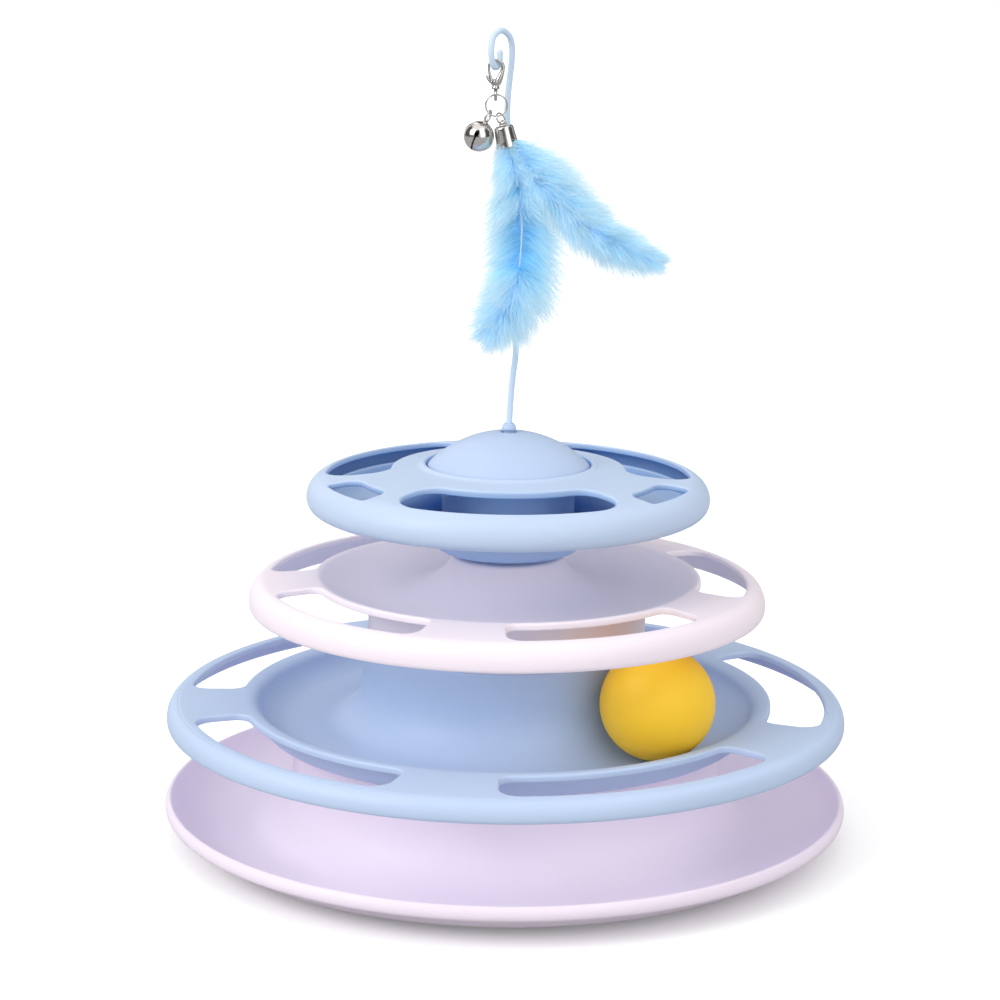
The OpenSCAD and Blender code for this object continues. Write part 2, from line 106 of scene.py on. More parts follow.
def rows_of(az, H, r1, r2, half, c1, c2, na=20, ns=6, nc=4):
    """Points around one slot, the outward directions there, and the directions of the sector's edge that face them."""
    h = math.radians(half)
    d1, d2 = math.asin(c1 / (r1 + c1)), math.asin(c2 / (r2 - c2))
    e1, e2 = h - d1, h - d2
    P, N = [], []

    def arc(c, rad, a0, a1, n, inward=False):
        for k in range(n):
            t = a0 + (a1 - a0) * k / n
            u = np.array([math.cos(t), math.sin(t)])
            P.append(c + rad * u)
            N.append(-u if inward else u)

    def line(p, q, u, n):
        for k in range(n):
            P.append(p + (q - p) * k / n)
            N.append(u)

    O = np.zeros(2)
    uv = lambda t: np.array([math.cos(t), math.sin(t)])
    q = math.pi / 2
    oL, oR = (r2 - c2) * uv(-e2), (r2 - c2) * uv(e2)
    iL, iR = (r1 + c1) * uv(-e1), (r1 + c1) * uv(e1)
    mo, mi = (e2 + h + q) / 2, (h + q + math.pi + e1) / 2
    arc(oL, c2, -mo, -e2, nc)
    arc(O, r2, -e2, e2, na)
    arc(oR, c2, e2, mo, nc)
    arc(oR, c2, mo, h + q, nc)
    line(oR + c2 * uv(h + q), iR + c1 * uv(h + q), uv(h + q), ns)
    arc(iR, c1, h + q, mi, nc)
    arc(iR, c1, mi, math.pi + e1, nc)
    arc(O, r1, e1, -e1, na, True)
    arc(iL, c1, -math.pi - e1, -mi, nc)
    arc(iL, c1, -mi, -h - q, nc)
    line(iL + c1 * uv(-h - q), oL + c2 * uv(-h - q), uv(-h - q), ns)
    arc(oL, c2, -h - q, -mo, nc)
    P, N = np.array(P), np.array(N)
    n_arc, n_side = 2 * nc + na, 2 * nc + ns
    t = math.radians(H)
    edge = []
    for k in range(n_arc):
        edge.append(("o", -t + 2 * t * k / n_arc, 0))
    for k in range(n_side):
        edge.append(("s", t, k / n_side))
    for k in range(n_arc):
        edge.append(("i", t - 2 * t * k / n_arc, 1))
    for k in range(n_side):
        edge.append(("s", -t, 1 - k / n_side))
    A = math.radians(az)
    R = np.array([[math.cos(A), -math.sin(A)], [math.sin(A), math.cos(A)]])
    return P @ R.T, N @ R.T, [(e[1] + A, e[2]) for e in edge], n_arc


def slotted(name, top, rim, bot, core, sectors, lip=0.8, lip_under=0.4, gap=0.5, mid=(0.34, 0.68)):
    """A closed shell turned about Z with rounded slots through it. top and bot are the (r, z) points of the two faces that
    the slots go through, rim joins them round the outside and core joins them inside. Every slot edge is a fillet."""
    verts, faces = [], []

    def add(rows, wrap=True):
        base = len(verts)
        n, m = len(rows), len(rows[0])
        for row in rows:
            verts.extend(row)
        for i in range(n - 1):
            for j in range(m if wrap else m - 1):
                k = (j + 1) % m
                faces.append((base + i * m + j, base + (i + 1) * m + j, base + (i + 1) * m + k, base + i * m + k))

    T, B = np.array(sorted(top)), np.array(sorted(bot))
    zt = lambda r: np.interp(r, T[:, 0], T[:, 1])
    zb = lambda r: np.interp(r, B[:, 0], B[:, 1])
    ang = []
    for az, H, slot in sectors:
        P, N, edge, n_arc = rows_of(az, H, *slot)
        for k in range(n_arc):
            ang.append(edge[k][0])

        def rim_row(Q):
            return np.array([[(Q[-1, 0] * (1 - f) + Q[0, 0] * f) * math.cos(t), (Q[-1, 0] * (1 - f) + Q[0, 0] * f) * math.sin(t)] for t, f in edge])

        rows = []
        Et, Eb = rim_row(T), rim_row(B)
        lift = lambda xy, fn, dz=0.0: np.column_stack([xy, fn(np.linalg.norm(xy, axis=1)) + dz])
        for f in (0,) + tuple(mid) + (1,):
            rows.append(lift(Et * (1 - f) + (P + (lip + gap) * N) * f, zt))
        for q in (0, 30, 60, 90):
            c, s_ = 1 - math.cos(math.radians(q)), 1 - math.sin(math.radians(q))
            rows.append(lift(P + lip * s_ * N, zt, -lip * c))
        hi, r = rows[-1], np.linalg.norm(P, axis=1)
        lo = np.column_stack([P, zb(r) + lip_under])
        rows.append((hi + lo) / 2)
        for q in (90, 45, 0):
            c, s_ = 1 - math.cos(math.radians(q)), 1 - math.sin(math.radians(q))
            rows.append(lift(P + lip_under * s_ * N, zb, lip_under * c))
        for f in (1, 0.5, 0):
            rows.append(lift(Eb * (1 - f) + (P + (lip_under + gap) * N) * f, zb))
        add([[tuple(p) for p in row] for row in rows])
    for prof in (rim, core):
        add([[(r * math.cos(t), r * math.sin(t), z) for t in ang] for r, z in prof])
    return clean(mesh_obj(name, verts, faces), 2e-6)


def curve2(points, per=4):
    """A smooth line through (r, z) points."""
    return [(p[0], p[2]) for p in catmull([(r, 0, z) for r, z in points], per)]


def turned(name, prof, n=96, closed=True, frame_m=None, axis_start=False, axis_end=False):
    """Revolves (r, z) points about Z. Points at either end may lie on the axis."""
    verts, rows = [], []
    a = np.linspace(0, 2 * math.pi, n, endpoint=False)
    for r, z in prof:
        if r < 1e-6:
            rows.append([len(verts)])
            verts.append((0, 0, z))
        else:
            rows.append(list(range(len(verts), len(verts) + n)))
            verts += [(r * math.cos(t), r * math.sin(t), z) for t in a]
    faces = []
    pairs = list(zip(rows, rows[1:] + rows[:1])) if closed else list(zip(rows, rows[1:]))
    for A, B in pairs:
        if len(A) == 1 and len(B) == 1:
            continue
        for j in range(n):
            k = (j + 1) % n
            if len(A) == 1:
                faces.append((A[0], B[j], B[k]))
            elif len(B) == 1:
                faces.append((A[j], B[0], A[k]))
            else:
                faces.append((A[j], B[j], B[k], A[k]))
    verts = np.array(verts, float)
    if frame_m is not None:
        verts = (np.array(frame_m)[:3, :3] @ verts.T).T + np.array(frame_m)[:3, 3]
    return clean(mesh_obj(name, verts, faces))


def catmull(points, per):
    p = np.array(points, float)
    q = np.vstack([2 * p[0] - p[1], p, 2 * p[-1] - p[-2]])
    out = []
    for i in range(1, len(q) - 2):
        a, b, c, d = q[i - 1], q[i], q[i + 1], q[i + 2]
        for t in np.linspace(0, 1, per, endpoint=False):
            out.append(0.5 * (2 * b + (c - a) * t + (2 * a - 5 * b + 4 * c - d) * t * t + (3 * b - a - 3 * c + d) * t**3))
    out.append(p[-1])
    return np.array(out)


def even(p, n):
    s = np.r_[0, np.cumsum(np.linalg.norm(np.diff(p, axis=0), axis=1))]
    t = np.linspace(0, s[-1], n)
    return np.stack([np.interp(t, s, p[:, k]) for k in range(3)], 1)


def frames(p, closed=False):
    t = np.roll(p, -1, 0) - np.roll(p, 1, 0) if closed else np.gradient(p, axis=0)
    t /= np.linalg.norm(t, axis=1)[:, None]
    ref = np.array([0.31, 0.92, 0.24])
    u = np.cross(t[0], ref)
    u /= np.linalg.norm(u)
    U = [u]
    for i in range(1, len(p)):
        u = U[-1] - t[i] * np.dot(U[-1], t[i])
        U.append(u / np.linalg.norm(u))
    U = np.array(U)
    if closed:
        last = U[-1] - t[0] * np.dot(U[-1], t[0])
        last /= np.linalg.norm(last)
        ang = math.atan2(np.dot(np.cross(last, U[0]), t[0]), np.dot(last, U[0]))
        W = np.cross(t, U)
        k = ang * np.arange(len(p)) / len(p)
        U = U * np.cos(k)[:, None] + W * np.sin(k)[:, None]
    return t, U, np.cross(t, U)


def tube(name, p, r, sides=16, closed=False, flat=None):
    """A tube of radius r along the points p, with domed ends. flat is (direction, factor) for a flattened section."""
    p = np.asarray(p, float)
    r = np.broadcast_to(np.asarray(r, float), (len(p),)).copy()
    t, U, W = frames(p, closed)
    if not closed:
        cap0 = [(p[0] - t[0] * r[0] * math.sin(k), r[0] * math.cos(k), U[0], W[0]) for k in (1.45, 1.1, 0.75, 0.4)]
        cap1 = [(p[-1] + t[-1] * r[-1] * math.sin(k), r[-1] * math.cos(k), U[-1], W[-1]) for k in (0.4, 0.75, 1.1, 1.45)]
        rows = cap0 + [(p[i], r[i], U[i], W[i]) for i in range(len(p))] + cap1
    else:
        rows = [(p[i], r[i], U[i], W[i]) for i in range(len(p))]
    a = np.linspace(0, 2 * math.pi, sides, endpoint=False)
    verts = []
    for c, rr, u, w in rows:
        off = rr * (np.cos(a)[:, None] * u + np.sin(a)[:, None] * w)
        if flat is not None:
            d = np.array(flat[0], float)
            off = off + np.outer(off @ d, d) * (flat[1] - 1)
        verts.append(c + off)
    n = len(rows)
    idx = lambda i, j: (i % n) * sides + (j % sides)
    faces = [(idx(i, j), idx(i, j + 1), idx(i + 1, j + 1), idx(i + 1, j)) for i in range(n if closed else n - 1) for j in range(sides)]
    if not closed:
        faces += [tuple(range(sides))[::-1], tuple((n - 1) * sides + j for j in range(sides))]
    return clean(mesh_obj(name, np.vstack(verts), faces))


def joined(name, objs):
    """One object out of several meshes, each still a closed shell."""
    bm = bmesh.new()
    for o in objs:
        bm.from_mesh(o.data)
    m = bpy.data.meshes.new(name)
    bm.to_mesh(m)
    bm.free()
    for o in objs:
        bpy.data.objects.remove(o)
    m.polygons.foreach_set("use_smooth", [True] * len(m.polygons))
    o = bpy.data.objects.new(name, m)
    scene.collection.objects.link(o)
    return o


# ---------------------------------------------------------------- materials
def lin(r, g, b):
    f = lambda c: (c / 255 / 12.92) if c <= 10 else ((c / 255 + 0.055) / 1.055) ** 2.4
    return (f(r), f(g), f(b), 1.0)


def new_mat(name):
    m = bpy.data.materials.new(name)
    m.use_nodes = True
    nt = m.node_tree
    return m, nt, nt.nodes["Principled BSDF"]


def node(nt, kind, **kw):
    n = nt.nodes.new(kind)
    for k, v in kw.items():
        if k in ("operation", "blend_type", "data_type", "noise_dimensions", "feature", "wave_type"):
            setattr(n, k, v)
        else:
            n.inputs[k].default_value = v
    return n


def plastic(name, rgb, rough=0.46, grain=1700.0, bump=0.05, sss=0.10, tint=0.03, painted_hollow_shading=None, reach=0.045, keep=1.0):
    """Satin moulded plastic: a fine spark-eroded grain, slow colour drift and roughness that varies a little.
    Where a hollow colour is given, the hollows that ambient occlusion finds within reach are painted towards it:
    painted shade where that colour is darker, painted light where it is lighter."""
    m, nt, b = new_mat(name)
    L = nt.links
    co = node(nt, "ShaderNodeTexCoord")
    slow = node(nt, "ShaderNodeTexNoise", Scale=9.0, Detail=3.0, Roughness=0.5)
    mid = node(nt, "ShaderNodeTexNoise", Scale=160.0, Detail=4.0, Roughness=0.6)
    fine = node(nt, "ShaderNodeTexNoise", Scale=grain, Detail=2.0, Roughness=0.55)
    for n in (slow, mid, fine):
        L.new(co.outputs["Object"], n.inputs["Vector"])
    ramp = node(nt, "ShaderNodeValToRGB")
    ramp.color_ramp.elements[0].position, ramp.color_ramp.elements[1].position = 0.3, 0.7
    lo = [max(0.0, c * (1 - tint)) for c in rgb[:3]] + [1]
    hi = [min(1.0, c * (1 + tint * 0.6)) for c in rgb[:3]] + [1]
    ramp.color_ramp.elements[0].color, ramp.color_ramp.elements[1].color = lo, hi
    L.new(slow.outputs["Fac"], ramp.inputs["Fac"])
    out = ramp.outputs["Color"]
    # Painted light and shade in hollows: occluded spots are mixed towards the given hollow colour
    if painted_hollow_shading is not None:
        ao = nt.nodes.new("ShaderNodeAmbientOcclusion")
        ao.samples = 6
        ao.inputs["Distance"].default_value = reach
        fall = node(nt, "ShaderNodeMapRange")
        fall.inputs["From Min"].default_value, fall.inputs["From Max"].default_value = 0.0, keep
        L.new(ao.outputs["AO"], fall.inputs["Value"])
        mix = node(nt, "ShaderNodeMix", data_type="RGBA")
        L.new(fall.outputs["Result"], mix.inputs["Factor"])
        mix.inputs[6].default_value = (*painted_hollow_shading[:3], 1)
        L.new(out, mix.inputs[7])
        out = mix.outputs[2]
    L.new(out, b.inputs["Base Color"])
    mr = node(nt, "ShaderNodeMapRange")
    mr.inputs["From Min"].default_value, mr.inputs["From Max"].default_value = 0.3, 0.7
    mr.inputs["To Min"].default_value, mr.inputs["To Max"].default_value = rough - 0.05, rough + 0.06
    L.new(mid.outputs["Fac"], mr.inputs["Value"])
    L.new(mr.outputs["Result"], b.inputs["Roughness"])
    bp = node(nt, "ShaderNodeBump", Strength=bump, Distance=0.0002)
    L.new(fine.outputs["Fac"], bp.inputs["Height"])
    L.new(bp.outputs["Normal"], b.inputs["Normal"])
    b.inputs["Subsurface Weight"].default_value = sss
    b.inputs["Subsurface Radius"].default_value = (1.0, 0.9, 0.9)
    b.inputs["Subsurface Scale"].default_value = 0.003
    b.inputs["IOR"].default_value = 1.46
    b.inputs["Specular IOR Level"].default_value = 0.42
    return m


def plume_mat(name, root, mid, tip):
    """Dyed down: full colour along the barbs, paler at the tips and from barb to barb, with light coming through and a
    faint painted glow of its own colour.
    """
    m, nt, b = new_mat(name)
    L = nt.links
    at = nt.nodes.new("ShaderNodeVertexColor")
    at.layer_name = "barb"
    sep = nt.nodes.new("ShaderNodeSeparateColor")
    L.new(at.outputs["Color"], sep.inputs["Color"])
    ramp = node(nt, "ShaderNodeValToRGB")
    cr = ramp.color_ramp
    cr.elements[0].position, cr.elements[0].color = 0.0, root
    cr.elements[1].position, cr.elements[1].color = 1.0, tip
    e = cr.elements.new(0.45)
    e.color = mid
    L.new(sep.outputs["Red"], ramp.inputs["Fac"])
    co = node(nt, "ShaderNodeTexCoord")
    nz = node(nt, "ShaderNodeTexNoise", Scale=170.0, Detail=3.0, Roughness=0.55)
    L.new(co.outputs["Object"], nz.inputs["Vector"])
    add = node(nt, "ShaderNodeMath", operation="ADD")
    L.new(nz.outputs["Fac"], add.inputs[0])
    L.new(sep.outputs["Green"], add.inputs[1])
    mr = node(nt, "ShaderNodeMapRange")
    mr.inputs["From Min"].default_value, mr.inputs["From Max"].default_value = 0.55, 1.45
    mr.inputs["To Min"].default_value, mr.inputs["To Max"].default_value = 0.9, 1.08
    L.new(add.outputs[0], mr.inputs["Value"])
    hsv = node(nt, "ShaderNodeHueSaturation")
    L.new(ramp.outputs["Color"], hsv.inputs["Color"])
    L.new(mr.outputs["Result"], hsv.inputs["Value"])
    L.new(hsv.outputs["Color"], b.inputs["Base Color"])
    rr = node(nt, "ShaderNodeMapRange")
    rr.inputs["To Min"].default_value, rr.inputs["To Max"].default_value = 0.62, 0.8
    L.new(nz.outputs["Fac"], rr.inputs["Value"])
    L.new(rr.outputs["Result"], b.inputs["Roughness"])
    b.inputs["Specular IOR Level"].default_value = 0.1
    tr = nt.nodes.new("ShaderNodeBsdfTranslucent")
    L.new(hsv.outputs["Color"], tr.inputs["Color"])
    mx = nt.nodes.new("ShaderNodeMixShader")
    # Painted light: the down glows faintly in its own colour
    L.new(hsv.outputs["Color"], b.inputs["Emission Color"])
    b.inputs["Emission Strength"].default_value = 0.08
    mx.inputs[0].default_value = 0.45
    L.new(b.outputs["BSDF"], mx.inputs[1])
    L.new(tr.outputs["BSDF"], mx.inputs[2])
    L.new(mx.outputs["Shader"], nt.nodes["Material Output"].inputs["Surface"])
    return m


def metal(name, rgb, rough=0.14, scratch=0.06):
    m, nt, b = new_mat(name)
    L = nt.links
    co = node(nt, "ShaderNodeTexCoord")
    n1 = node(nt, "ShaderNodeTexNoise", Scale=600.0, Detail=4.0, Roughness=0.6)
    n2 = node(nt, "ShaderNodeTexNoise", Scale=2600.0, Detail=3.0, Roughness=0.6)
    for n in (n1, n2):
        L.new(co.outputs["Object"], n.inputs["Vector"])
    ramp = node(nt, "ShaderNodeValToRGB")
    ramp.color_ramp.elements[0].position, ramp.color_ramp.elements[1].position = 0.35, 0.65
    ramp.color_ramp.elements[0].color = [c * 0.93 for c in rgb[:3]] + [1]
    ramp.color_ramp.elements[1].color = list(rgb[:3]) + [1]
    L.new(n1.outputs["Fac"], ramp.inputs["Fac"])
    L.new(ramp.outputs["Color"], b.inputs["Base Color"])
    mr = node(nt, "ShaderNodeMapRange")
    mr.inputs["From Min"].default_value, mr.inputs["From Max"].default_value = 0.3, 0.7
    mr.inputs["To Min"].default_value, mr.inputs["To Max"].default_value = rough - 0.03, rough + 0.06
    L.new(n1.outputs["Fac"], mr.inputs["Value"])
    L.new(mr.outputs["Result"], b.inputs["Roughness"])
    bp = node(nt, "ShaderNodeBump", Strength=scratch, Distance=0.00005)
    L.new(n2.outputs["Fac"], bp.inputs["Height"])
    L.new(bp.outputs["Normal"], b.inputs["Normal"])
    b.inputs["Metallic"].default_value = 1.0
    return m


# Hollow colours: painted shade on the blue plastics and the ball (darker), painted light on the lilac and tray plastics
# (lighter)
M_BLUE = plastic("blue_plastic", lin(188, 206, 233), painted_hollow_shading=lin(156, 180, 216), reach=0.045)
M_DISC = plastic("blue_disc_plastic", lin(194, 211, 236), painted_hollow_shading=lin(108, 158, 212), reach=0.03)
# The core plastic is the disc blue made lighter and without hollow shade: painted light on the shaded hanging column
M_CORE_PAINTED_LIGHT = plastic("blue_core_painted_light", lin(190, 218, 246))
M_LILAC = plastic("lilac_plastic", lin(245, 233, 241), painted_hollow_shading=lin(254, 243, 247), reach=0.06)
M_TRAY = plastic("tray_plastic", lin(238, 225, 239), painted_hollow_shading=lin(252, 240, 253), reach=0.06)
M_WIRE = plastic("wire_coating", lin(206, 226, 245), rough=0.38, sss=0.05)
M_BALL = plastic("ball_plastic", lin(255, 205, 48), painted_hollow_shading=lin(255, 196, 40), reach=0.05, rough=0.5, grain=2200.0, bump=0.06, sss=0.35, tint=0.02)
M_RUBBER = plastic("foot_rubber", lin(95, 90, 98), rough=0.75, bump=0.15, sss=0.0, tint=0.1)
M_NYLON = plastic("washer_plastic", lin(228, 228, 224), rough=0.35)
M_NICKEL = metal("nickel", (0.70, 0.675, 0.655))
M_RING = metal("nickel_wire", (0.56, 0.54, 0.53), rough=0.2)
M_STEEL = metal("steel", (0.55, 0.55, 0.56), rough=0.32, scratch=0.2)
M_PLUME = plume_mat("dyed_down", (0.36, 0.79, 0.97, 1), (0.62, 0.88, 0.97, 1), (0.98, 0.98, 0.98, 1))
M_QUILL = plastic("quill", lin(222, 240, 252), rough=0.35, sss=0.15)

# ---------------------------------------------------------------- tiers
# Lower tier: riser, deep channel, raised paw slot flange and a hollow rolled rim
low_top = bez((90, 48.6), (90.8, 50.4), (92.5, 51.2), (95, 51.2), 6)
low = slotted("lower_track_shell",
    [(95.2, 51.2), (106, 51.08), (118.2, 50.8)],
    [(118.2, 50.8), (119.0, 50.76), (119.55, 50.7), (119.75, 50.55), (119.95, 50.5), (120.2, 50.55), (120.45, 50.48)]
    + bez((120.9, 50.3), (122.9, 49.6), (124, 47.6), (124, 44.8), 9)
    + [(123.9, 43.9), (123.6, 43.35), (123.1, 43.05), (122.6, 43.15), (122.3, 43.6)]
    + bez((122.1, 44.8), (121.8, 46.6), (120.6, 47.9), (118, 48.4), 6),
    [(118, 48.4), (107, 48.65), (95.8, 48.75)],
    [(95.8, 48.75)] + bez((95.2, 48.7), (93.6, 48.3), (92.4, 47.4), (91.6, 45.8), 5)
    + bez((91.6, 45.8), (90, 42.4), (88.4, 40.4), (85.6, 40.2), 7, 1)
    + [(80, 40.2), (76.8, 40.15), (76.25, 39.9), (76.05, 39.3), (76.05, 33), (76.05, 26.5), (75.9, 26.1), (75.4, 26), (74.8, 26), (74.45, 26.3),
       (74.4, 34), (74.4, 39.6), (74.1, 40.3), (73.2, 40.6)]
    + bez((69, 40.8), (57, 40.8), (50.8, 47), (50.8, 58), 14) + [(50.8, 64), (50.8, 70), (50.8, 72.6), (50.95, 73.05), (51.3, 73.2), (51.9, 73.2),
       (52.25, 73.05), (52.4, 72.6), (52.4, 69), (52.4, 65)]
    + bez((52.4, 61), (52.6, 51), (57, 43), (68, 43), 15) + [(73.5, 43), (78, 43)]
    + bez((80, 43), (85, 43), (88.6, 45.6), (90, 48.6), 10) + low_top[1:] + [(95.2, 51.2)],
    [(25.5 + 72 * i - 90, 36, (97, 116.5, 26.5, 5, 7)) for i in range(5)])
put(subdiv(low, 1), M_BLUE, "base", "blue_plastic", "lower_track")

# Upper tier
up_in = bez((66, 95.4), (67.4, 96.2), (68.2, 96.5), (69.2, 96.55), 4)
up = slotted("upper_track_shell",
    [(69.2, 96.55), (71, 96.5), (79, 95.95), (88.4, 95.2)],
    bez((88.4, 95.2), (91.6, 94.7), (94, 91.8), (94, 87.4), 10)
    + [(93.9, 86.4), (93.65, 85.8), (93.2, 85.35), (92.7, 85.4), (92.35, 85.9)]
    + bez((92, 87.4), (91.8, 90.2), (90.2, 92.5), (88, 92.9), 7),
    [(88, 92.9), (80, 93.5), (69.3, 94.0)],
    [(69.3, 94.0)] + bez((69, 93.95), (65, 92.8), (59, 90.3), (51.6, 89.25), 10)
    + [(51.0, 89.1), (50.65, 88.7), (50.6, 88), (50.6, 80), (50.6, 70), (50.6, 62.6), (50.45, 62.15), (50.1, 62), (49.5, 62), (49.1, 62.2), (49, 62.7), (49, 75),
       (49, 88.2), (48.7, 88.9), (47.8, 89.1)]
    + bez((44, 89.1), (30, 89.4), (21.6, 94.6), (19.4, 101.5), 14) + [(18.9, 101.9), (18.2, 102), (12, 102), (5.6, 102), (5.2, 102.1), (5.1, 102.5), (5.1, 103.7),
       (5.2, 104.1), (5.6, 104.2), (12, 104.2), (18.0, 104.2), (19.3, 104.15)]
    + bez((20.2, 103.7), (22.6, 97.2), (31, 91.6), (44, 91.3), 16)
    + bez((48, 91.3), (55, 91.4), (61, 93.2), (66, 95.4), 9) + up_in[1:],
    [(25.5 + 72 * i - 90, 36, (70.5, 87, 25.5, 4, 5.5)) for i in range(5)])
put(subdiv(up, 1), M_LILAC, "base", "lilac_plastic", "upper_track")

base_loop = (
    [(76.2, 38.4), (76.35, 38.8), (76.8, 38.95), (77.4, 38.95), (77.85, 38.8), (78, 38.3), (78, 35), (78, 31)]
    + bez((78, 28), (78.2, 14), (84, 4), (97, 4), 18)
    + bez((102, 4), (112, 4), (119, 8), (122.2, 14.3), 16)
    + [(122.4, 14.7), (122.75, 15.05), (123.2, 15.15), (123.8, 15.0), (124.4, 14.4), (124.8, 13.6), (125, 12.6), (124.95, 11.6), (124.7, 10.8), (124.2, 10.1), (123.5, 9.75)]
    + bez((122.4, 9.5), (117, 6), (113, 2), (104, 2), 12) + [(100, 2), (96, 2)]
    + bez((88.5, 2), (82, 2.6), (76.4, 12), (76.2, 23.2), 12)
    + [(76.1, 23.8), (75.6, 24), (74.6, 24), (74.1, 24.2), (74, 24.6), (74, 25.4), (74.1, 25.8), (74.6, 26), (75.6, 26), (76.1, 26.2), (76.2, 26.8), (76.2, 32)])
base = turned("base_tray_shell", base_loop, 160)
put(subdiv(base, 1), M_TRAY, "base", "tray_plastic", "base_tray")

for i in range(5):
    a = math.radians(-90 - 11 + 72 * i)
    T = Matrix.Translation((96 * math.cos(a), 96 * math.sin(a), 0))
    foot = turned("rubber_foot_%d" % (i + 1), [(0, 0.25), (3.2, 0.25), (3.8, 0.05), (4.4, 0.0), (6.0, 0.0), (6.8, 0.12),
        (7.15, 0.5), (7.2, 1.0), (7.2, 1.6), (7.2, 2.0), (4, 2.0), (0, 2.0)], 48, False, T)
    put(foot, M_RUBBER, "base", "foot_rubber", "rubber_feet")

# ---------------------------------------------------------------- top disc
cover_rim = bez((65, 133.9), (70.4, 133.2), (73, 129.6), (73, 125.8), 20)
k0 = next(i for i, p in enumerate(cover_rim) if p[0] > 68.7)
cover_top = curve2([(36.5, 136.72), (40.8, 136.32), (43, 136.1), (49, 135.55), (55, 135.0), (60, 134.5), (65, 133.9)], 3)[3:] + cover_rim[1:k0 + 1]
cover_in = bez((69, 123.6), (71.2, 124.2), (70.8, 129.2), (67.6, 130.9), 10)
cover = slotted("disc_cover_shell", cover_top,
    cover_rim[k0:] + bez((73, 125.8), (73, 122.8), (71, 121.1), (68.4, 121), 8, 1)
    + [(67.6, 121.05), (67.25, 121.35), (67.2, 122), (67.25, 122.9), (67.7, 123.35)] + cover_in[:-1] + [(67.9, 130.7)],
    [(67.9, 130.7), (66.5, 131.35), (64, 131.85), (55, 132.8), (43, 133.6), (40.8, 133.6)],
    [(40.8, 133.6), (37, 133.55), (34, 133.3), (31.2, 132.4), (29.6, 131.7), (26, 131.6), (24.4, 131.6), (24.05, 131.4), (24, 131), (24, 126), (24, 119),
     (23.85, 118.55), (23.5, 118.4), (22.9, 118.4), (22.5, 118.6), (22.4, 119), (22.4, 126), (22.4, 132.3), (22.5, 132.8), (22.9, 133), (25, 133), (27.8, 133.0),
     (28.25, 133.15), (28.4, 133.6), (28.4, 135.6), (28.5, 136.05), (28.9, 136.2), (29.4, 136.22), (29.7, 136.4), (29.8, 136.8), (29.85, 137.4), (30.05, 137.85),
     (30.5, 138.08), (31.1, 138.08), (31.7, 137.8), (32.3, 137.4), (33.0, 137.13), (34.4, 136.92), (36.5, 136.72), (39, 136.5), (40.8, 136.32)],
    [(120.0 * (i // 2) - 90 + 60 * (i % 2), 15.75 if i % 2 else 44.25, (56, 67.3, 12.3, 5.5, 1.5) if i % 2 else (42.5, 66, 40, 8, 11)) for i in range(6)],
    lip=0.8, lip_under=0.4, gap=0.3)
put(subdiv(cover, 1), M_DISC, "turntable", "blue_plastic", "turntable_cover")
# Faces of the hanging column get the lighter core plastic, painted light where the column sits in shade
cover.data.materials.append(M_CORE_PAINTED_LIGHT)
for f in cover.data.polygons:
    if all(math.hypot(cover.data.vertices[v].co.x, cover.data.vertices[v].co.y) < 0.0262 and cover.data.vertices[v].co.z < 0.1318 for v in f.vertices):
        f.material_index = 1

shell_prof = ([(5.05, 104.9), (11.4, 104.9), (12.0, 105.1), (12.3, 105.9), (13.0, 106.15), (23.2, 106.15), (24.0, 106.25)] + bez((24.6, 106.5), (27.2, 107.7), (28.2, 111.4), (28.3, 117), 10)
    + bez((28.3, 117), (29, 119.8), (33, 120.3), (40, 120.4), 6, 1)
    + [(52, 120.6), (64, 120.9), (65.8, 121.15), (66.5, 121.6), (66.8, 122.3), (66.8, 125), (66.8, 127.3), (66.5, 127.6), (65.5, 127.6),
       (65.2, 127.3), (65.2, 125), (65.2, 123.8), (64.9, 123.2), (64.2, 122.9), (52, 122.65), (40, 122.4)]
    + bez((36, 122.3), (30, 122.1), (27.2, 120.6), (26.4, 117.6), 6) + bez((26.4, 117.6), (26.2, 112.6), (24.8, 109.1), (20.6, 108.2), 8, 1)
    + [(14, 108.2), (9.5, 108.2), (9.1, 108.5), (9, 108.9), (9, 118), (9, 127.8), (8.8, 128), (5.3, 128), (5.05, 127.8), (5.05, 118), (5.05, 105.1)])
low_shell = turned("disc_lower_shell", shell_prof, 128)
put(subdiv(low_shell, 1), M_DISC, "turntable", "blue_plastic", "turntable_shell")

dr, dh = 29.3, 12.4
ds = (dr * dr + dh * dh) / (2 * dh)
dc = 137.2 + dh - ds
top_a = np.linspace(math.acos(2.5 / ds), math.acos(29.0 / ds), 26)
in_a = np.linspace(math.acos(26.6 / (ds - 2)), math.acos(2.5 / (ds - 2)), 22)
dome_prof = ([(ds * math.cos(t), dc + ds * math.sin(t)) for t in top_a] + [(29.25, 137.2), (29.3, 136.9), (29.2, 136.4), (28.9, 136.3), (28.3, 136.3), (28.2, 136.0),
    (28.2, 133.5), (27.9, 133.2), (26.7, 133.2), (26.4, 133.5), (26.4, 137)] + [((ds - 2) * math.cos(t), dc + (ds - 2) * math.sin(t)) for t in in_a])
dome = turned("dome_cap_shell", dome_prof, 128)
put(subdiv(dome, 1), M_BLUE, "turntable", "blue_plastic", "dome_cap")

